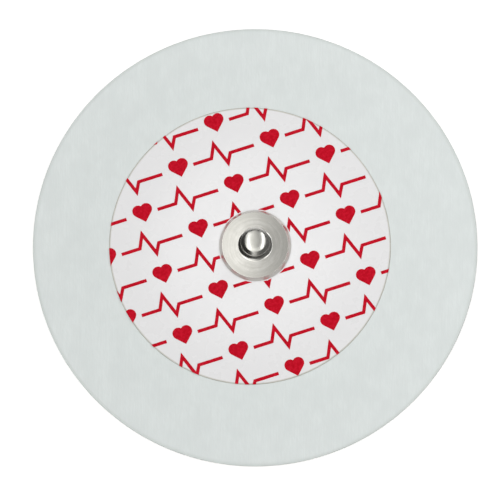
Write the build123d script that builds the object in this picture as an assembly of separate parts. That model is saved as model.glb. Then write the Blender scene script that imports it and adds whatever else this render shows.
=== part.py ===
from build123d import *

import os
from math import ceil, cos, radians, sin, sqrt, tan

# A round disposable electrode for heart monitoring, lying on its skin face.
# The origin is on the stud's axis at the skin face, and +Z runs up through the stud.
# All sizes are in millimetres.

# Backing tape, a cloth with a coat of skin adhesive on its underside
TAPE_DIAMETER = 60.0
TAPE_THICKNESS = 0.3
RIM_WIDTH = 3.0  # flat stretch at the edge, where the tape lies on the skin
LEVEL_MARGIN = 0.5  # level stretch past the label, which holds the tape flat

# Gel pad in the tape's hole
GEL_DIAMETER = 18.0
GEL_UNDER_SENSOR = 0.6  # gel between the sensor and the skin
GEL_SIDE_GAP = 0.3  # room between the pad and the tape
POCKET_GAP = 0.1  # room between the sensor's flange and its pocket in the pad

# Label film over the hole, and its print
LABEL_DIAMETER = 38.0
LABEL_THICKNESS = 0.12
LABEL_SHIFT = -0.7  # along X, because the label is laid a little off the axis
LABEL_HOLE_GAP = 0.1  # room round the sensor's post
INK_THICKNESS = 0.03
INK_STUD_GAP = 0.15  # bare film round the stud

# Snap stud, drawn from one sheet
STUD_SHEET = 0.25
STUD_HEIGHT = 3.9  # from the label to the top of the head
HEAD_DIAMETER = 3.96
CROWN_RADIUS = 4.0
SHOULDER_WIDTH = 0.48  # bevel between the crown and the widest part of the head, seen from above
SHOULDER_SLOPE = 40.0
SHOULDER_ROUND = 0.2  # where that bevel meets the land
HEAD_LAND = 0.55  # upright band at the widest part of the head
UNDERCUT_HEIGHT = 0.55  # from the land down to the neck
NECK_DIAMETER = 3.3
ROOT_ROUND = 1.0  # from the neck out to the flange
ROOT_SHARE = 0.9  # the most of the neck's height that this round may take
FLANGE_DIAMETER = 9.7
FLANGE_HEIGHT = 0.9  # from the label to the flange beside the neck
FLANGE_FALL = 0.25  # drop of the flange from its root to its rim
RIM_ROUND = 0.5

# Sensor eyelet, clamped to the label by the stud
SENSOR_MARGIN = 0.15  # the sensor's flange reaches this far past the stud's rim
SENSOR_FLANGE = 0.4
SENSOR_EDGE = 0.12  # bevel of the flange's lower edge
POST_GAP = 0.05  # room between the post and the stud's neck
TIP_GAP = 0.15  # room between the post's swaged tip and the stud's head
TIP_BEVEL = 0.3

# Print motif: a heart followed by a pulse trace, in slanted rows
HEART_SIDE = 1.6
LOBE_SIDES = 16  # each round of the heart is drawn as a regular polygon
PULSE_STROKE = 0.45
PULSE_LENGTH = 8.6
PULSE_HEIGHT = 1.8
PULSE_SHAPE = ((0, 0), (0.3, 0), (0.4, 1), (0.53, -0.7), (0.61, 0), (1, 0))  # shares of length and height
MOTIF_GAP = 2.0  # from the heart's middle to the trace
MOTIF_PITCH = 13.0
ROW_PITCH = 4.4
ROW_ANGLE = 18.0

# Radii and levels that follow from those sizes
tape_radius = TAPE_DIAMETER / 2
gel_radius = GEL_DIAMETER / 2
hole_radius = gel_radius + GEL_SIDE_GAP
label_radius = LABEL_DIAMETER / 2
head_radius = HEAD_DIAMETER / 2
neck_radius = NECK_DIAMETER / 2
flange_radius = FLANGE_DIAMETER / 2
sensor_radius = flange_radius + SENSOR_MARGIN
post_radius = neck_radius - STUD_SHEET - POST_GAP
tip_radius = head_radius - STUD_SHEET - TIP_GAP

label_level = GEL_UNDER_SENSOR + SENSOR_FLANGE
stud_level = label_level + LABEL_THICKNESS
crown_level = stud_level + STUD_HEIGHT
flange_level = stud_level + FLANGE_HEIGHT
rim_level = flange_level - FLANGE_FALL
shoulder_slope = radians(SHOULDER_SLOPE)
crown_edge = head_radius - SHOULDER_WIDTH
crown_edge_level = crown_level - CROWN_RADIUS + sqrt(CROWN_RADIUS**2 - crown_edge**2)
land_top = crown_edge_level - SHOULDER_WIDTH * tan(shoulder_slope)
land_bottom = land_top - HEAD_LAND
neck_top = land_bottom - UNDERCUT_HEIGHT
root_round = min(ROOT_ROUND, ROOT_SHARE * (neck_top - flange_level))
root_bevel = (root_round + STUD_SHEET) * (2 - sqrt(2))  # leaves the sheet's thickness behind the round

# Past the label the tape slopes from the level of the gel pad's top down to the skin
rise = label_level - TAPE_THICKNESS
slope_start = label_radius + abs(LABEL_SHIFT) + LEVEL_MARGIN
slope_end = tape_radius - RIM_WIDTH


def spun(section):
    """A solid turned about the stud's axis from a section drawn as radius and height."""
    return revolve(Plane.XZ * section, Axis.Z)


def tape_line(offset):
    """Points along the tape at an offset above its skin face, from its hole to its edge."""
    return [
        (hole_radius, rise + offset),
        (slope_start, rise + offset),
        (slope_end, offset),
        (tape_radius, offset),
    ]


def make_backing_tape():
    outline = Polyline(*tape_line(0), *reversed(tape_line(TAPE_THICKNESS)), close=True)
    return spun(make_face(outline))


def label_outline():
    """The label's cut edge, seen from above."""
    return Pos(LABEL_SHIFT, 0) * Circle(label_radius)


def make_label_disc():
    film = label_outline() - Circle(post_radius + LABEL_HOLE_GAP)
    return Pos(0, 0, label_level) * extrude(film, LABEL_THICKNESS)


def make_gel_pad():
    pad = extrude(Circle(gel_radius), label_level)
    pocket = Pos(0, 0, GEL_UNDER_SENSOR) * extrude(Circle(sensor_radius + POCKET_GAP), SENSOR_FLANGE)
    return pad - pocket


def stud_outside():
    """The stud's outer line, from the top of the crown over the neck to the foot of the rim."""
    crown = TangentArc((0, crown_level), (crown_edge, crown_edge_level), tangent=(1, 0))
    skirt = FilletPolyline(
        (crown_edge, crown_edge_level),
        (head_radius, land_top),
        (head_radius, land_bottom),
        (neck_radius, neck_top),
        (neck_radius, flange_level),
        (flange_radius, rim_level),
        (flange_radius, stud_level),
        radius=[SHOULDER_ROUND, 0, 0, root_round, RIM_ROUND],
    )
    return [crown] + skirt.edges()


def stud_inside():
    """The line back up inside the sheet, from the foot of the rim to the top of the crown."""
    bore_radius = neck_radius - STUD_SHEET
    land_drop = STUD_SHEET * (1 - sin(shoulder_slope)) / cos(shoulder_slope)
    return Polyline(
        (flange_radius, stud_level),
        (flange_radius - STUD_SHEET, stud_level),
        (flange_radius - STUD_SHEET, rim_level - RIM_ROUND),
        (flange_radius - RIM_ROUND, rim_level - STUD_SHEET),
        (bore_radius + root_bevel, flange_level - STUD_SHEET),
        (bore_radius, flange_level - STUD_SHEET + root_bevel),
        (bore_radius, neck_top),
        (head_radius - STUD_SHEET, land_bottom),
        (head_radius - STUD_SHEET, land_top - land_drop),
        (crown_edge - STUD_SHEET / 2, crown_edge_level - STUD_SHEET),
        (0, crown_level - STUD_SHEET),
        (0, crown_level),
    )


def make_snap_stud():
    return spun(make_face(stud_outside() + stud_inside().edges()))


def make_sensor_eyelet():
    """A flange under the label, with a post whose tip is swaged out inside the stud's head."""
    bevel_start = land_top - TIP_BEVEL
    flare_start = (neck_top + land_bottom) / 2
    flare_end = (flare_start + bevel_start) / 2
    outline = Polyline(
        (0, GEL_UNDER_SENSOR),
        (sensor_radius - SENSOR_EDGE, GEL_UNDER_SENSOR),
        (sensor_radius, GEL_UNDER_SENSOR + SENSOR_EDGE),
        (sensor_radius, label_level),
        (post_radius, label_level),
        (post_radius, flare_start),
        (tip_radius, flare_end),
        (tip_radius, bevel_start),
        (tip_radius - TIP_BEVEL, land_top),
        (0, land_top),
        close=True,
    )
    return spun(make_face(outline))


def heart():
    """A square on its corner with a round on each upper side."""
    lobe = HEART_SIDE / 2
    shape = Rot(0, 0, 45) * Rectangle(HEART_SIDE, HEART_SIDE)
    for side in (-1, 1):
        shape += Pos(side * lobe / sqrt(2), lobe / sqrt(2)) * RegularPolygon(lobe, LOBE_SIDES)
    return shape


def pulse():
    """One beat of a heart trace, as a stroke of even width."""
    points = [(along * PULSE_LENGTH, up * PULSE_HEIGHT) for along, up in PULSE_SHAPE]
    return Pos(MOTIF_GAP, 0) * trace(Polyline(*points), PULSE_STROKE)


def make_label_print():
    """Rows of the motif across the label, every other row moved along by half a pitch."""
    motif = heart() + pulse()
    columns = 2 * ceil(label_radius / MOTIF_PITCH) + 1
    rows = 2 * ceil(label_radius / (2 * ROW_PITCH)) + 1
    field = Sketch()
    for row_shift in (Pos(0, 0), Pos(MOTIF_PITCH / 2, ROW_PITCH)):
        for place in GridLocations(MOTIF_PITCH, 2 * ROW_PITCH, columns, rows):
            field += Rot(0, 0, ROW_ANGLE) * row_shift * place * motif
    bare = Circle(flange_radius + INK_STUD_GAP)
    inked = field & (label_outline() - bare)
    return Pos(0, 0, stud_level) * extrude(inked, INK_THICKNESS)


makers = {
    "backing_tape": make_backing_tape,
    "gel_pad": make_gel_pad,
    "sensor_eyelet": make_sensor_eyelet,
    "label_disc": make_label_disc,
    "label_print": make_label_print,
    "snap_stud": make_snap_stud,
}

os.makedirs("parts", exist_ok=True)
for node, make in makers.items():
    export_step(make(), f"parts/{node}.step")
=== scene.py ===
from math import cos, hypot, pi, radians, sin, sqrt, tan

import bpy
from mathutils import Matrix, Vector, noise


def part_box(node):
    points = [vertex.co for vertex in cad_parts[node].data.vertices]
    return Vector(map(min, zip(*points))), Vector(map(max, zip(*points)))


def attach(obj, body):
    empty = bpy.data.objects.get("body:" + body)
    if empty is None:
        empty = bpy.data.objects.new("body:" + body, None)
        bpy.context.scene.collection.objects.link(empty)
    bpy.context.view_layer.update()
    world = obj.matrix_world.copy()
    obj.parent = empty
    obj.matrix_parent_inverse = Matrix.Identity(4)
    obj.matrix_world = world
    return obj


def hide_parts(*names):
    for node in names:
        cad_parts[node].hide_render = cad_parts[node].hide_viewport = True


# A round disposable electrode for heart monitoring, lying on its skin face on a white table.
# Lengths are in millimetres, and become metres where a mesh, a lamp or the camera is made.
# Slopes and turns are in degrees.
MM = 0.001

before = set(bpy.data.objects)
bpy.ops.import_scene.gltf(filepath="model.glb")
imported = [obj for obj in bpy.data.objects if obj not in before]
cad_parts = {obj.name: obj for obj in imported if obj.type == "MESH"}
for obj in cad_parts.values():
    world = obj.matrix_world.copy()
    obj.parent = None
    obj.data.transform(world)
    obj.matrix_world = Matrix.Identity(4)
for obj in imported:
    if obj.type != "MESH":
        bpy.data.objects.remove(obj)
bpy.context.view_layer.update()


def reach(node):
    """A solid's lowest and highest corner, in millimetres."""
    low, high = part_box(node)
    return low / MM, high / MM


# Sizes that the solids give
tape_high = reach("backing_tape")[1]
gel_low, gel_high = reach("gel_pad")
film_low, film_high = reach("label_disc")
stud_low, stud_high = reach("snap_stud")
tape_radius = tape_high.x
gel_radius = gel_high.x
film_radius = (film_high.x - film_low.x) / 2
film_shift = (film_high.x + film_low.x) / 2
flange_radius = stud_high.x

# Tape: level under the label, then sloping down to a flat rim
TAPE_THICKNESS = 0.3
TAPE_HOLE = 9.3  # radius
SLOPE_START = 20.2  # radius
SLOPE_END = 27.0
TAPE_EDGE = 0.08  # rounding of the cut edge
TAPE_WAVE = 0.07  # height of the cloth's slow waves
TAPE_WAVE_X = 6.0  # their length along X
TAPE_WAVE_Y = 8.0
RIM_LIFT = 0.12  # how far the rim curls off the table in places
RIM_LIFT_RATE = 1.3  # how quickly that changes round the rim
WAVE_LEAD = 1.0  # the waves start this far before the slope, and the lift this far before the rim
SKIN_NORMAL = -0.5  # a face that points further down than this has the adhesive

# Label film and its hole for the sensor's post
FILM_HOLE = 1.45  # radius
FILM_EDGE = 0.1  # rounding of the cut edge
FILM_WAVE = 0.03
FILM_WAVE_LENGTH = 4.0
FILM_PRESSED = 5.5  # the stud presses the film flat as far out as this
FILM_FREE = 11.0  # and from here on its waves are full

# Gel pad with a pocket for the sensor's flange
POCKET_RADIUS = 5.1
POCKET_FLOOR = 0.6
GEL_EDGE = 0.2  # rounding of its outer edges, and half of it at the pocket
GEL_DIMPLE = 0.05
GEL_DIMPLE_LENGTH = 1.5

# Snap stud, drawn from one sheet
STUD_SHEET = 0.25
HEAD_RADIUS = 1.98
CROWN_RADIUS = 4.0  # of the ball that the crown's top and edge lie on
CROWN_POWER = 2.5  # how its fall grows outwards, over 2 because its middle is flatter than a ball
CROWN_ROUND = 0.3  # where the crown turns into the shoulder
SHOULDER_WIDTH = 0.48
SHOULDER_SLOPE = 40.0
SHOULDER_ROUND = 0.04
HEAD_LAND = 0.55
UNDERCUT_HEIGHT = 0.55
NECK_RADIUS = 1.65
ROOT_ROUND = 1.0
ROOT_START = 43.5  # slope at which the root leaves the neck, as a cone
ROOT_CONE = 0.34  # width of that cone, seen from above
ROOT_END = 21.0  # slope at which the root's round meets the flange
ROOT_EDGE = 0.08  # rounding there
FLANGE_HEIGHT = 0.9
FLANGE_FALL = 0.25
RIM_ROUND = 0.5
RIM_WIDTH = 0.34  # the rim's bent edge, seen from above
RIM_EDGE = 0.08  # rounding at the bend's two sides
SMALL_ROUND = 0.06  # worn corners of the head, the neck and the foot

# Levels of the stud that follow from those sizes
shoulder_slope = radians(SHOULDER_SLOPE)
crown_edge = HEAD_RADIUS - SHOULDER_WIDTH
crown_edge_level = stud_high.z - CROWN_RADIUS + sqrt(CROWN_RADIUS**2 - crown_edge**2)
land_top = crown_edge_level - SHOULDER_WIDTH * tan(shoulder_slope)
land_bottom = land_top - HEAD_LAND
neck_top = land_bottom - UNDERCUT_HEIGHT
flange_level = stud_low.z + FLANGE_HEIGHT
rim_level = flange_level - FLANGE_FALL
flange_slope = FLANGE_FALL / (flange_radius - NECK_RADIUS)

# Steps of the meshes, round the stud's axis and along each profile
TAPE_TURNS = 400
TAPE_TOP_STEPS = 72
TAPE_UNDER_STEPS = 48
FILM_TURNS = 288
FILM_TOP_STEPS = 56
FILM_UNDER_STEPS = 24
GEL_TURNS = 120
GEL_UNDER_STEPS = 24
STUD_TURNS = 192
CROWN_STEPS = 20
ROOT_STEPS = 16
STUD_CORNER_STEPS = 10
SHEET_CORNER_STEPS = 7

# Edges that turn by more than this stay sharp
SHEET_CREASE = 50
GEL_CREASE = 60
STUD_CREASE = 35

# Layers of the noise, one for each kind of wave
TAPE_LAYER = 0
GEL_LAYER = 2
RIM_LAYER = 4
FILM_LAYER = 9

# Patterns of the materials: a grain is the width, length and depth of its noise's patches
NOISE_DETAIL = 3.0
NOISE_ROUGHNESS = 0.55
NOISE_RANGE = (0.3, 0.7)  # most of the noise's values
FIBRE_GRAIN = (0.16, 2.4, 1.0)
FIBRE_TURN = 2.0
CROSS_GRAIN = (0.2, 1.3, 1.0)
CROSS_TURN = -24.0
FIBRE_SHARE = 0.65  # the rest of the cloth's fibres lie across
FIBRE_DEPTH = 0.03
CLOUD_GRAIN = (2.2, 3.0, 1.0)
# The cut edge's darker stretch is painted shade, where the rounded edge turns away from the light.
TAPE_CUT_SHADE = (tape_radius - 0.6, tape_radius)  # radii of the cut edge's darker stretch
STRIPE_GRAIN = (0.5, 8.0, 1.0)
STRIPE_TURN = 90.0
STRIPE_DEPTH = 0.02
SPECK_GRAIN = (0.4, 0.4, 1.0)
SPECK_RANGE = (0.35, 0.7)
MOTTLE_GRAIN = (2.5, 2.5, 1.0)
FILM_GRAIN = (0.25, 0.25, 1.0)
FILM_DEPTH = 0.004
# The film's greying between these radii is painted shade.
FILM_PAINTED_SHADE = (8.0, 18.0)  # radii between which the film gets a little greyer
# Radii of a painted shadow line along the film's cut edge.
FILM_CUT_SHADOW = (film_radius - 0.28, film_radius - 0.05)
INK_GRAIN = (0.35, 0.35, 1.0)
INK_DEPTH = 0.003
SMUDGE_GRAIN = (1.2, 1.2, 1.2)
MARK_PITCH = 0.3  # width of the marks round the stud's axis
MARK_CHANGE = 0.3  # how quickly they change along their way
MARK_RANGE = (0.35, 0.65)
MARK_DEPTH = 0.012
CHLORIDE_GRAIN = (0.3, 0.3, 0.3)
CELL_SIZE = (0.35, 0.35, 0.35)
CELL_RANGE = (0.1, 0.7)
CELL_DEPTH = 0.03

# Zones of the steel by radius, for its polish, dullness, painted shade and painted highlight, and the
# neck's painted shade by height
# The crown's middle is tinted darker: painted shade.
CROWN_SHADE_ZONE = (1.3, 1.7)
HEAD_POLISH_ZONE = (1.4, 1.65)
# The flange's outer ring is tinted darker: painted shade.
OUTER_SHADE_ZONE = (3.4, 4.3)
RIM_DULL_ZONE = (4.3, 4.6)
# The rim is tinted lighter: a painted highlight.
RIM_HIGHLIGHT_ZONE = (4.45, 4.55)
# Heights between which the neck is tinted dark: painted shade under the head.
NECK_SHADE_FOOT = (2.25, 2.4)
NECK_SHADE_HEAD = (4.25, 4.35)

# White table
FLOOR_HALF = 4000.0
FLOOR_DROP = 0.02  # below the skin face, so that the two never share a plane
FLOOR_GLOW = 0.3  # lifts what the camera sees of it to white

# Room, by the parts of a direction: X to the right, Y to the back and Z up, from -1 to 1
SIDE_ZONE = (-0.26, 0.28)  # along X
SIDE_LIGHT = (1.34, 0.5)  # the ceiling is lighter on the left
BAND_START = (-0.44, -0.28)  # along Y, where a lighter band across the front starts
BAND_GAIN = 0.65
BAND_END = (-0.68, -0.52)
BAND_LOSS = 0.75
WALL_ZONE = (-0.6, 0.6)  # along X
WALL_LIGHT = (0.03, 0.13)

# Ceiling, an egg shape on a flat map of the directions: straight up is the middle of the map, and
# the distance from there is the tangent of half the angle
CEILING_FRONT = -0.72
CEILING_BACK = 0.58
CEILING_FRONT_HALF = 0.45  # half its width at the front
CEILING_BACK_HALF = 0.27
CEILING_FADE = (0.95, 1.1)  # shares of its size between which it turns into the walls

# Soft panels, which the stud's crown shows as white crescents
PANELS = {
    "left_panel": {
        "toward": (-0.48, 0.22, 0.84),
        "distance": 1000.0,
        "width": 320.0,
        "length": 1500.0,
        "turn": 8.0,
        "radiance": 1.6,
    },
    "right_panel": {
        "toward": (0.55, 0.22, 0.80),
        "distance": 240.0,
        "width": 58.0,
        "length": 360.0,
        "turn": -8.0,
        "radiance": 3.2,
    },
}

# Camera: the photograph's view from the front, almost straight down
CAMERA_ELEVATION = 79.5
CAMERA_DISTANCE = 1500.0
CAMERA_NEAR = 10.0  # nothing nearer than this is drawn
VIEW_WIDTH = 67.5  # what the square frame takes in at the camera's distance
AIM = (0.0, 0.0, 0.15)
AIM_LEFT = 0.7  # the frame's middle lies this far left of the aim
AIM_DOWN = 0.4  # and this far below it


def srgb(red, green, blue):
    """A colour as a screen shows it, from 0 to 255, as linear values by the sRGB standard's curve."""
    shares = [value / 255 for value in (red, green, blue)]
    linear = [((share + 0.055) / 1.055) ** 2.4 if share > 0.04045 else share / 12.92 for share in shares]
    return linear + [1.0]


def smooth(value, start, end):
    """0 before start, 1 after end, and an even curve between them."""
    share = min(max((value - start) / (end - start), 0.0), 1.0)
    return share * share * (3 - 2 * share)


def spread(start, end, count):
    """Evenly spaced values from start to end, with both of them."""
    return [start + (end - start) * step / (count - 1) for step in range(count)]


def ripple(x, y, layer):
    """Slow noise from 0 to 1, with waves about one unit long."""
    return 0.5 + 0.5 * noise.noise(Vector((x, y, layer)))


# Mesh building


def arc(radius, height, size, start, end, steps):
    """Points of a round about a centre, by angle from straight up."""
    return [(radius + size * sin(angle), height + size * cos(angle)) for angle in spread(start, end, steps)]


def round_off(before, corner, after, size, steps):
    """Points of a round that touches both arms of a corner."""
    if size == 0:
        return [tuple(corner)]
    arm_in = (before - corner).normalized()
    arm_out = (after - corner).normalized()
    half = arm_in.angle(arm_out) / 2
    centre = corner + (arm_in + arm_out).normalized() * size / sin(half)
    first = corner + arm_in * size / tan(half) - centre
    last = corner + arm_out * size / tan(half) - centre
    return [tuple(centre + first.slerp(last, share) * size) for share in spread(0, 1, steps)]


def rounded(corners, steps):
    """A line through corners that are given as radius, height and the size of their round."""
    line = []
    for index, (radius, height, size) in enumerate(corners):
        before = Vector(corners[index - 1][:2])
        after = Vector(corners[(index + 1) % len(corners)][:2])
        line += round_off(before, Vector((radius, height)), after, size, steps)
    return line


def turned(radius, height, angle):
    """Where a profile's point goes when it is plainly turned about the stud's axis."""
    return radius * cos(angle), radius * sin(angle), height


def spin(profile, steps, place=turned):
    """Points and faces of a closed skin, from a profile carried round the stud's axis.

    A profile that starts on the axis also ends there, and any other is a loop.
    """
    points = []
    rings = []
    for radius, height in profile:
        turns = steps if radius > 0 else 1
        rings.append(range(len(points), len(points) + turns))
        points += [place(radius, height, 2 * pi * turn / steps) for turn in range(turns)]
    following = rings[1:] if profile[0][0] == 0 else rings[1:] + rings[:1]
    faces = []
    for one, other in zip(rings, following):
        for turn in range(steps):
            ahead = turn + 1
            corners = [
                one[turn % len(one)],
                other[turn % len(other)],
                other[ahead % len(other)],
                one[ahead % len(one)],
            ]
            faces.append(list(dict.fromkeys(corners)))
    return points, faces


def skin_mesh(name, points, faces, crease):
    """A smooth mesh from points in millimetres, with edges sharper than the crease kept sharp."""
    mesh = bpy.data.meshes.new(name)
    mesh.from_pydata([Vector(point) * MM for point in points], [], faces)
    mesh.shade_smooth()
    mesh.set_sharp_from_angle(angle=radians(crease))
    return mesh


def add_piece(name, node, mesh, materials):
    """A shown piece that stands for a solid and rides with it."""
    for material in materials:
        mesh.materials.append(material)
    piece = bpy.data.objects.new(name, mesh)
    bpy.context.scene.collection.objects.link(piece)
    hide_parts(node)
    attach(piece, "root")
    return piece


# Shader building


def add_node(tree, kind, inputs=None, **settings):
    """A shader node with its settings, and its inputs set or linked by name or number."""
    node = tree.nodes.new(kind)
    for name, value in settings.items():
        setattr(node, name, value)
    for socket, value in (inputs or {}).items():
        if isinstance(value, bpy.types.NodeSocket):
            tree.links.new(value, node.inputs[socket])
        else:
            node.inputs[socket].default_value = value
    return node


def new_material(name, constants):
    """A material, its node tree and its shader, with the shader's constants set."""
    material = bpy.data.materials.new(name)
    material.use_nodes = True
    shader = material.node_tree.nodes["Principled BSDF"]
    for socket, value in constants.items():
        shader.inputs[socket].default_value = value
    return material, material.node_tree, shader


def combine(tree, operation, first, second):
    """Two values put together by an operation."""
    return add_node(tree, "ShaderNodeMath", {0: first, 1: second}, operation=operation).outputs[0]


def combine_vectors(tree, operation, *vectors):
    """The outputs of an operation on vectors, which are Vector and Value."""
    return add_node(tree, "ShaderNodeVectorMath", dict(enumerate(vectors)), operation=operation).outputs


def millimetres(tree, stretch=(1, 1, 1), turn=0):
    """The surface's own coordinates in millimetres, turned about the stud's axis and then stretched."""
    coordinates = add_node(tree, "ShaderNodeTexCoord").outputs["Object"]
    scale = [1 / (MM * length) for length in stretch]
    inputs = {"Vector": coordinates, "Angle": radians(turn)}
    turned_first = add_node(tree, "ShaderNodeVectorRotate", inputs, rotation_type="Z_AXIS").outputs[0]
    return add_node(tree, "ShaderNodeMapping", {0: turned_first, "Scale": scale}).outputs[0]


def grain(tree, stretch, turn=0, detail=NOISE_DETAIL):
    """Noise whose patches are about as long as the stretch, in millimetres."""
    place = millimetres(tree, stretch, turn)
    inputs = {"Vector": place, "Scale": 1.0, "Detail": detail, "Roughness": NOISE_ROUGHNESS}
    return add_node(tree, "ShaderNodeTexNoise", inputs).outputs["Fac"]


def radius_from(tree, centre=0.0):
    """Distance from an upright axis through (centre, 0), in millimetres."""
    flat = combine_vectors(tree, "MULTIPLY_ADD", millimetres(tree), (1, 1, 0), (-centre, 0, 0))["Vector"]
    return combine_vectors(tree, "LENGTH", flat)["Value"]


def ring_grain(tree):
    """Noise in rings round the stud's axis, which fade along their way."""
    flat = combine_vectors(tree, "MULTIPLY", millimetres(tree), (MARK_CHANGE, MARK_CHANGE, 0))["Vector"]
    level = combine(tree, "DIVIDE", radius_from(tree), MARK_PITCH)
    outward = add_node(tree, "ShaderNodeCombineXYZ", {"Z": level}).outputs[0]
    place = combine_vectors(tree, "ADD", flat, outward)["Vector"]
    inputs = {"Vector": place, "Scale": 1.0, "Detail": NOISE_DETAIL}
    return add_node(tree, "ShaderNodeTexNoise", inputs).outputs["Fac"]


def remap(tree, value, old, new):
    """A value carried over smoothly from an old range to a new one, each given by its two ends."""
    inputs = {"Value": value, 1: old[0], 2: old[1], 3: new[0], 4: new[1]}
    return add_node(tree, "ShaderNodeMapRange", inputs, interpolation_type="SMOOTHSTEP").outputs[0]


def blend(tree, share, first, second):
    """A colour between two colours."""
    inputs = {"Factor": share, 6: first, 7: second}
    return add_node(tree, "ShaderNodeMix", inputs, data_type="RGBA").outputs[2]


def tint(tree, colour, other, by, zone=NOISE_RANGE, shares=(0.0, 1.0)):
    """A colour that takes up another, from the first share to the second as a value crosses a zone."""
    return blend(tree, remap(tree, by, zone, shares), colour, other)


def raise_surface(tree, shader, height, depth, strength):
    """Gives the shader a relief of a depth in millimetres."""
    inputs = {"Height": height, "Distance": depth * MM, "Strength": strength}
    bump = add_node(tree, "ShaderNodeBump", inputs)
    tree.links.new(bump.outputs[0], shader.inputs["Normal"])


# Materials


def tape_cloth():
    """Fine nonwoven cloth: fibres mostly along Y, thicker and thinner patches, and painted shade along its
    cut edge.
    """
    constants = {"Roughness": 0.88, "Sheen Weight": 0.12, "Sheen Roughness": 0.5, "Specular IOR Level": 0.3}
    material, tree, shader = new_material("tape_cloth", constants)
    along = grain(tree, FIBRE_GRAIN, turn=FIBRE_TURN)
    across = grain(tree, CROSS_GRAIN, turn=CROSS_TURN)
    along_part = combine(tree, "MULTIPLY", along, FIBRE_SHARE)
    across_part = combine(tree, "MULTIPLY", across, 1 - FIBRE_SHARE)
    fibres = combine(tree, "ADD", along_part, across_part)
    clouds = grain(tree, CLOUD_GRAIN, detail=2.0)
    cloth = tint(tree, srgb(215, 221, 221), srgb(221, 227, 227), by=fibres)
    clouded = tint(tree, cloth, srgb(212, 218, 218), by=clouds, shares=(0.0, 0.6))
    cut_shade = srgb(192, 199, 197)
    # Painted shade: the cloth greys toward its cut edge.
    colour = tint(tree, clouded, cut_shade, by=radius_from(tree), zone=TAPE_CUT_SHADE, shares=(0.0, 0.55))
    tree.links.new(colour, shader.inputs["Base Color"])
    raise_surface(tree, shader, fibres, FIBRE_DEPTH, strength=0.7)
    return material


def skin_adhesive():
    """Clear tacky coat under the tape, pressed in fine stripes."""
    material, tree, shader = new_material("skin_adhesive", {"Roughness": 0.22, "Coat Weight": 0.4})
    stripes = grain(tree, STRIPE_GRAIN, turn=STRIPE_TURN, detail=1.0)
    specks = grain(tree, SPECK_GRAIN)
    colour = tint(tree, srgb(214, 215, 206), srgb(228, 228, 221), by=specks, zone=SPECK_RANGE)
    tree.links.new(colour, shader.inputs["Base Color"])
    raise_surface(tree, shader, stripes, STRIPE_DEPTH, strength=0.6)
    return material


def label_film():
    """Glossy white film with a slight mottle, greyer toward its edge as painted shade, and a tan painted
    shadow line along its cut edge.
    """
    constants = {"Coat Weight": 0.1, "Coat Roughness": 0.08, "IOR": 1.45}
    material, tree, shader = new_material("label_film", constants)
    radius = radius_from(tree, film_shift)
    mottle = grain(tree, MOTTLE_GRAIN)
    # Painted shade: the film greys from its middle toward its edge.
    white = tint(tree, srgb(237, 237, 239), srgb(227, 227, 229), by=radius, zone=FILM_PAINTED_SHADE)
    mottled = tint(tree, white, srgb(224, 224, 227), by=mottle, shares=(0.0, 0.25))
    # Painted shadow: a tan line along the film's cut edge.
    colour = tint(tree, mottled, srgb(188, 186, 178), by=radius, zone=FILM_CUT_SHADOW)
    roughness = remap(tree, mottle, NOISE_RANGE, (0.25, 0.31))
    tree.links.new(colour, shader.inputs["Base Color"])
    tree.links.new(roughness, shader.inputs["Roughness"])
    raise_surface(tree, shader, grain(tree, FILM_GRAIN, detail=1.0), FILM_DEPTH, strength=0.4)
    return material


def label_ink():
    """Red printing ink, a little thinner in places."""
    material, tree, shader = new_material("label_ink", {"Roughness": 0.55, "Specular IOR Level": 0.04})
    density = grain(tree, INK_GRAIN)
    colour = tint(tree, srgb(180, 4, 28), srgb(200, 20, 44), by=density)
    tree.links.new(colour, shader.inputs["Base Color"])
    raise_surface(tree, shader, density, INK_DEPTH, strength=0.5)
    return material


def steel_colour(tree, radius, marks):
    """The steel's tone: smudged and marked, greyer on the crown and outwards and dark round the neck, all
    painted shade, and lighter on the rim as a painted highlight.
    """
    smudges = grain(tree, SMUDGE_GRAIN)
    colour = tint(tree, srgb(208, 207, 202), srgb(218, 217, 213), by=smudges)
    colour = tint(tree, colour, srgb(195, 194, 189), by=marks, zone=MARK_RANGE, shares=(0.0, 0.5))
    # Painted shade: the crown's middle is darker.
    colour = tint(tree, colour, srgb(186, 186, 181), by=radius, zone=CROWN_SHADE_ZONE, shares=(0.7, 0.0))
    # Painted shade: the flange darkens outwards.
    colour = tint(tree, colour, srgb(199, 198, 193), by=radius, zone=OUTER_SHADE_ZONE, shares=(0.0, 0.8))
    # Painted highlight: the rim is lighter.
    colour = tint(tree, colour, srgb(215, 213, 208), by=radius, zone=RIM_HIGHLIGHT_ZONE)
    # Painted shade: the neck and undercut are dark, under the head.
    height = add_node(tree, "ShaderNodeSeparateXYZ", {0: millimetres(tree)}).outputs["Z"]
    over_foot = remap(tree, height, NECK_SHADE_FOOT, (0.0, 1.0))
    under_head = remap(tree, height, NECK_SHADE_HEAD, (1.0, 0.0))
    neck = combine(tree, "MULTIPLY", over_foot, under_head)
    return blend(tree, neck, colour, srgb(112, 110, 106))


def stud_steel():
    """Drawn stainless steel, brushed, with marks round its axis, a softer crown and a dull rim; its colour
    holds painted shade and a painted highlight.
    """
    material, tree, shader = new_material("stud_steel", {"Metallic": 1.0})
    radius = radius_from(tree)
    marks = ring_grain(tree)
    brushed = remap(tree, radius, HEAD_POLISH_ZONE, (0.25, 0.17))
    dull = remap(tree, radius, RIM_DULL_ZONE, (0.0, 0.15))
    roughness = combine(tree, "ADD", brushed, dull)
    tree.links.new(steel_colour(tree, radius, marks), shader.inputs["Base Color"])
    tree.links.new(roughness, shader.inputs["Roughness"])
    raise_surface(tree, shader, marks, MARK_DEPTH, strength=0.5)
    return material


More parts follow.
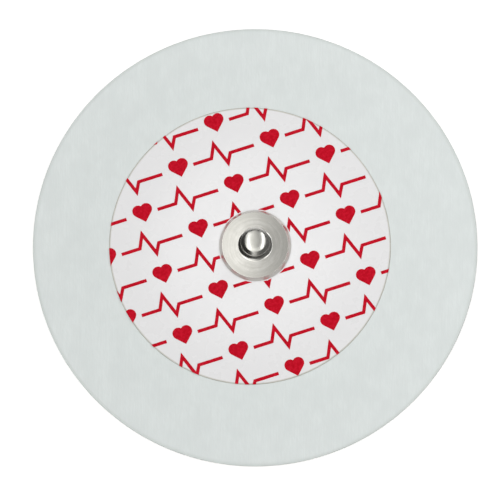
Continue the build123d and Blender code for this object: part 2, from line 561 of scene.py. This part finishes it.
def sensor_plating():
    """Plastic plated with silver, greyed by silver chloride."""
    material, tree, shader = new_material("sensor_plating", {"Metallic": 0.7})
    chloride = grain(tree, CHLORIDE_GRAIN)
    colour = tint(tree, srgb(150, 148, 146), srgb(188, 187, 184), by=chloride)
    roughness = remap(tree, chloride, NOISE_RANGE, (0.35, 0.6))
    tree.links.new(colour, shader.inputs["Base Color"])
    tree.links.new(roughness, shader.inputs["Roughness"])
    return material


def gel_sponge():
    """Wet gel in an open sponge: see-through, with the sponge's cells showing."""
    constants = {"Roughness": 0.12, "Transmission Weight": 0.35, "IOR": 1.38, "Coat Weight": 0.5}
    material, tree, shader = new_material("gel_sponge", constants)
    inputs = {"Vector": millimetres(tree, CELL_SIZE), "Scale": 1.0}
    cells = add_node(tree, "ShaderNodeTexVoronoi", inputs).outputs["Distance"]
    colour = tint(tree, srgb(196, 214, 219), srgb(226, 236, 238), by=cells, zone=CELL_RANGE)
    tree.links.new(colour, shader.inputs["Base Color"])
    raise_surface(tree, shader, cells, CELL_DEPTH, strength=0.4)
    return material


# Pieces


def tape_height(radius):
    """Height of the tape's skin face, which slopes down past the label."""
    return (tape_high.z - TAPE_THICKNESS) * (1 - smooth(radius, SLOPE_START, SLOPE_END))


def tape_place(radius, height, angle):
    """A point of the tape, with the cloth's slow waves and a rim that lifts in places."""
    x, y, offset = turned(radius, height, angle)
    free = smooth(radius, SLOPE_START - WAVE_LEAD, SLOPE_END)
    wave = TAPE_WAVE * free * ripple(x / TAPE_WAVE_X, y / TAPE_WAVE_Y, TAPE_LAYER)
    lift = max(noise.noise(Vector(turned(RIM_LIFT_RATE, RIM_LAYER, angle))), 0)
    curl = RIM_LIFT * lift * smooth(radius, SLOPE_END - WAVE_LEAD, tape_radius)
    return x, y, tape_height(radius) + offset + wave + curl


def make_tape():
    edge = tape_radius - TAPE_EDGE
    top = [(radius, TAPE_THICKNESS) for radius in spread(TAPE_HOLE, edge, TAPE_TOP_STEPS)]
    corners = [
        (edge, TAPE_THICKNESS, 0),
        (tape_radius, TAPE_THICKNESS, TAPE_EDGE),
        (tape_radius, 0, TAPE_EDGE),
        (edge, 0, 0),
    ]
    cut = rounded(corners, SHEET_CORNER_STEPS)
    under = [(radius, 0) for radius in spread(edge, TAPE_HOLE, TAPE_UNDER_STEPS)]
    points, faces = spin(top + cut[1:-1] + under, TAPE_TURNS, tape_place)
    mesh = skin_mesh("cloth_tape", points, faces, SHEET_CREASE)
    piece = add_piece("cloth_tape", "backing_tape", mesh, [tape_cloth(), skin_adhesive()])
    for face in mesh.polygons:
        face.material_index = 1 if face.normal.z < SKIN_NORMAL else 0


def film_wave(x, y):
    """How far the label's film stands off the tape's level, away from the stud."""
    free = smooth(hypot(x, y), FILM_PRESSED, FILM_FREE)
    return FILM_WAVE * free * ripple(x / FILM_WAVE_LENGTH, y / FILM_WAVE_LENGTH, FILM_LAYER)


def film_place(radius, height, angle):
    """A point of the film, whose edge is shifted off the stud's axis and whose hole isn't."""
    x, y, level = turned(radius, height, angle)
    x += film_shift * (radius - FILM_HOLE) / (film_radius - FILM_HOLE)
    return x, y, level + film_wave(x, y)


def make_film():
    edge = film_radius - FILM_EDGE
    top = [(radius, film_high.z) for radius in spread(FILM_HOLE, edge, FILM_TOP_STEPS)]
    corners = [
        (edge, film_high.z, 0),
        (film_radius, film_high.z, FILM_EDGE),
        (film_radius, film_low.z, 0),
    ]
    cut = rounded(corners, SHEET_CORNER_STEPS)
    under = [(radius, film_low.z) for radius in spread(film_radius, FILM_HOLE, FILM_UNDER_STEPS)]
    points, faces = spin(top + cut[1:-1] + under, FILM_TURNS, film_place)
    mesh = skin_mesh("printed_film", points, faces, SHEET_CREASE)
    piece = add_piece("printed_film", "label_disc", mesh, [label_film()])


def make_print():
    """The print's own shapes, laid on the waves of the film."""
    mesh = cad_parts["label_print"].data.copy()
    mesh.materials.clear()
    for vertex in mesh.vertices:
        vertex.co.z += film_wave(vertex.co.x / MM, vertex.co.y / MM) * MM
    add_piece("printed_motifs", "label_print", mesh, [label_ink()])


def gel_place(radius, height, angle):
    """A point of the gel pad, with shallow dimples in its skin face."""
    x, y, level = turned(radius, height, angle)
    dimple = GEL_DIMPLE * ripple(x / GEL_DIMPLE_LENGTH, y / GEL_DIMPLE_LENGTH, GEL_LAYER)
    return x, y, level + dimple * (1 - smooth(level, 0, GEL_EDGE))


def make_gel():
    corners = [
        (0, POCKET_FLOOR, 0),
        (POCKET_RADIUS, POCKET_FLOOR, GEL_EDGE / 2),
        (POCKET_RADIUS, gel_high.z, GEL_EDGE / 2),
        (gel_radius, gel_high.z, GEL_EDGE),
        (gel_radius, gel_low.z, GEL_EDGE),
        (0, gel_low.z, 0),
    ]
    top = rounded(corners, SHEET_CORNER_STEPS)
    under = [(radius, gel_low.z) for radius in spread(gel_radius - GEL_EDGE, 0, GEL_UNDER_STEPS)]
    points, faces = spin(top[:-1] + under[1:], GEL_TURNS, gel_place)
    mesh = skin_mesh("gel_sponge", points, faces, GEL_CREASE)
    piece = add_piece("gel_sponge", "gel_pad", mesh, [gel_sponge()])


def crown_line():
    """Points of the stud's crown, from its top to its edge."""
    fall = stud_high.z - crown_edge_level
    return [
        (radius, stud_high.z - fall * (radius / crown_edge) ** CROWN_POWER)
        for radius in spread(0, crown_edge, CROWN_STEPS)
    ]


def root_line():
    """Points of the root's round, from the end of its cone to the flange."""
    start = radians(ROOT_START)
    end = radians(ROOT_END)
    centre = NECK_RADIUS + ROOT_CONE + ROOT_ROUND * sin(start)
    width = centre - NECK_RADIUS - ROOT_ROUND * sin(end)
    level = flange_level - flange_slope * width + ROOT_ROUND * cos(end)
    return arc(centre, level, ROOT_ROUND, start - pi, end - pi, ROOT_STEPS)


def stud_outside():
    """Corners from under the crown down to the foot of the rim, each with the size of its round."""
    root = root_line()
    cone_top = root[0][1] + ROOT_CONE * tan(radians(ROOT_START))
    return [
        (HEAD_RADIUS, land_top, SHOULDER_ROUND),
        (HEAD_RADIUS, land_bottom, SMALL_ROUND),
        (NECK_RADIUS, neck_top, SMALL_ROUND),
        (NECK_RADIUS, cone_top, SMALL_ROUND),
        *[(*point, 0) for point in root[:-1]],
        (*root[-1], ROOT_EDGE),
        (flange_radius - RIM_WIDTH, rim_level + flange_slope * RIM_WIDTH, RIM_EDGE),
        (flange_radius, rim_level - RIM_ROUND, RIM_EDGE),
        (flange_radius, stud_low.z, SMALL_ROUND),
    ]


def stud_inside():
    """Corners back up inside the sheet to the stud's axis, each with the size of its round."""
    bore = NECK_RADIUS - STUD_SHEET
    bevel = (ROOT_ROUND + STUD_SHEET) * (2 - sqrt(2))  # leaves the sheet's thickness behind the root
    land_drop = STUD_SHEET * (1 - sin(shoulder_slope)) / cos(shoulder_slope)
    return [
        (flange_radius - STUD_SHEET, stud_low.z, SMALL_ROUND),
        (flange_radius - STUD_SHEET, rim_level - RIM_ROUND, 0),
        (flange_radius - RIM_ROUND, rim_level - STUD_SHEET, SMALL_ROUND),
        (bore + bevel, flange_level - STUD_SHEET, SMALL_ROUND),
        (bore, flange_level - STUD_SHEET + bevel, SMALL_ROUND),
        (bore, neck_top, SMALL_ROUND),
        (HEAD_RADIUS - STUD_SHEET, land_bottom, SMALL_ROUND),
        (HEAD_RADIUS - STUD_SHEET, land_top - land_drop, SMALL_ROUND),
        (crown_edge - STUD_SHEET / 2, crown_edge_level - STUD_SHEET, SMALL_ROUND),
        (0, stud_high.z - STUD_SHEET, 0),
    ]


def stud_profile():
    """The stud's line over the crown and down to the foot, then back up inside the sheet."""
    crown = crown_line()
    crown_end = [(*crown[-2], 0), (*crown[-1], CROWN_ROUND)]
    skirt = rounded(crown_end + stud_outside() + stud_inside(), STUD_CORNER_STEPS)
    return crown[:-2] + skirt


def make_stud():
    points, faces = spin(stud_profile(), STUD_TURNS)
    mesh = skin_mesh("drawn_stud", points, faces, STUD_CREASE)
    add_piece("drawn_stud", "snap_stud", mesh, [stud_steel()])


def finish_sensor():
    """The sensor keeps its solid's shape and gets its plating."""
    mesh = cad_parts["sensor_eyelet"].data
    mesh.materials.clear()
    mesh.materials.append(sensor_plating())


# Studio


def table_white():
    """Matt white, which also glows a little for the camera, in metal and through the gel."""
    constants = {"Base Color": srgb(243, 243, 243), "Roughness": 0.9, "Emission Color": srgb(255, 255, 255)}
    material, tree, shader = new_material("white_table", constants)
    path = add_node(tree, "ShaderNodeLightPath").outputs
    seen = combine(tree, "MAXIMUM", path["Is Camera Ray"], path["Is Glossy Ray"])
    seen = combine(tree, "MAXIMUM", seen, path["Is Transmission Ray"])
    tree.links.new(combine(tree, "MULTIPLY", seen, FLOOR_GLOW), shader.inputs["Emission Strength"])
    return material


def make_floor():
    """A white table that holds the electrode's shadow."""
    mesh = bpy.data.meshes.new("white_table")
    ends = (-FLOOR_HALF, FLOOR_HALF)
    corners = [Vector((x, y, -FLOOR_DROP)) * MM for y in ends for x in ends]
    mesh.from_pydata(corners, [], [(0, 1, 3, 2)])
    mesh.materials.append(table_white())
    floor = bpy.data.objects.new("white_table", mesh)
    bpy.context.scene.collection.objects.link(floor)


def ceiling_light(tree, parts):
    """The ceiling's light by direction: lighter on the left, and in a band across the front."""
    sides = remap(tree, parts["X"], SIDE_ZONE, SIDE_LIGHT)
    band_start = remap(tree, parts["Y"], BAND_START, (BAND_GAIN, 0))
    band_end = remap(tree, parts["Y"], BAND_END, (BAND_LOSS, 0))
    band = combine(tree, "SUBTRACT", band_start, band_end)
    return combine(tree, "ADD", sides, band)


def past_ceiling(tree, parts):
    """0 for a direction to the ceiling, 1 for one to the walls, and a soft edge between them."""
    middle = (CEILING_FRONT + CEILING_BACK) / 2
    half_length = (CEILING_BACK - CEILING_FRONT) / 2
    ends = (CEILING_FRONT, CEILING_BACK)
    depth = combine(tree, "ADD", parts["Z"], 1)
    across = combine(tree, "DIVIDE", parts["X"], depth)
    along = combine(tree, "DIVIDE", parts["Y"], depth)
    half_width = remap(tree, along, ends, (CEILING_FRONT_HALF, CEILING_BACK_HALF))
    across_share = combine(tree, "DIVIDE", across, half_width)
    along_share = combine(tree, "DIVIDE", combine(tree, "SUBTRACT", along, middle), half_length)
    place = add_node(tree, "ShaderNodeCombineXYZ", {"X": across_share, "Y": along_share}).outputs[0]
    return remap(tree, combine_vectors(tree, "LENGTH", place)["Value"], CEILING_FADE, (0, 1))


def make_world():
    """A soft room: a light ceiling, wider and longer in front, over dim walls."""
    world = bpy.data.worlds.new("studio")
    world.use_nodes = True
    bpy.context.scene.world = world
    tree = world.node_tree
    direction = add_node(tree, "ShaderNodeTexCoord").outputs["Generated"]
    parts = add_node(tree, "ShaderNodeSeparateXYZ", {0: direction}).outputs
    walls = remap(tree, parts["X"], WALL_ZONE, WALL_LIGHT)
    light = remap(tree, past_ceiling(tree, parts), (0, 1), (ceiling_light(tree, parts), walls))
    background = tree.nodes["Background"]
    background.inputs["Color"].default_value = srgb(255, 254, 251)
    tree.links.new(light, background.inputs["Strength"])


def make_panel(name, toward, distance, width, length, turn, radiance):
    """A soft light panel that faces the electrode, its length from front to back but for a turn."""
    light = bpy.data.lights.new(name, "AREA")
    light.shape = "RECTANGLE"
    light.size = width * MM
    light.size_y = length * MM
    light.energy = radiance * pi * light.size * light.size_y
    panel = bpy.data.objects.new(name, light)
    back = Vector(toward).normalized()
    side = Vector((0, 1, 0)).cross(back).normalized()
    panel.location = back * distance * MM
    facing = Matrix((side, back.cross(side), back)).transposed()
    panel.rotation_euler = (facing @ Matrix.Rotation(radians(turn), 3, "Z")).to_euler()
    panel.visible_camera = False
    bpy.context.scene.collection.objects.link(panel)


def make_camera():
    camera = bpy.data.cameras.new("camera")
    camera.lens = camera.sensor_width * CAMERA_DISTANCE / VIEW_WIDTH
    camera.clip_start = CAMERA_NEAR * MM
    tilt = radians(CAMERA_ELEVATION)
    back = Vector((0, -cos(tilt), sin(tilt)))
    up = Vector((0, sin(tilt), cos(tilt)))
    middle = Vector(AIM) - AIM_LEFT * Vector((1, 0, 0)) - AIM_DOWN * up
    stand = bpy.data.objects.new("camera", camera)
    stand.location = (middle + back * CAMERA_DISTANCE) * MM
    stand.rotation_euler = back.to_track_quat("Z", "Y").to_euler()
    bpy.context.scene.collection.objects.link(stand)
    bpy.context.scene.camera = stand


make_gel()
finish_sensor()
make_tape()
make_film()
make_print()
make_stud()
make_floor()
make_world()
for panel_name, panel_sizes in PANELS.items():
    make_panel(panel_name, **panel_sizes)
make_camera()
bpy.context.scene.view_settings.view_transform = "Standard"
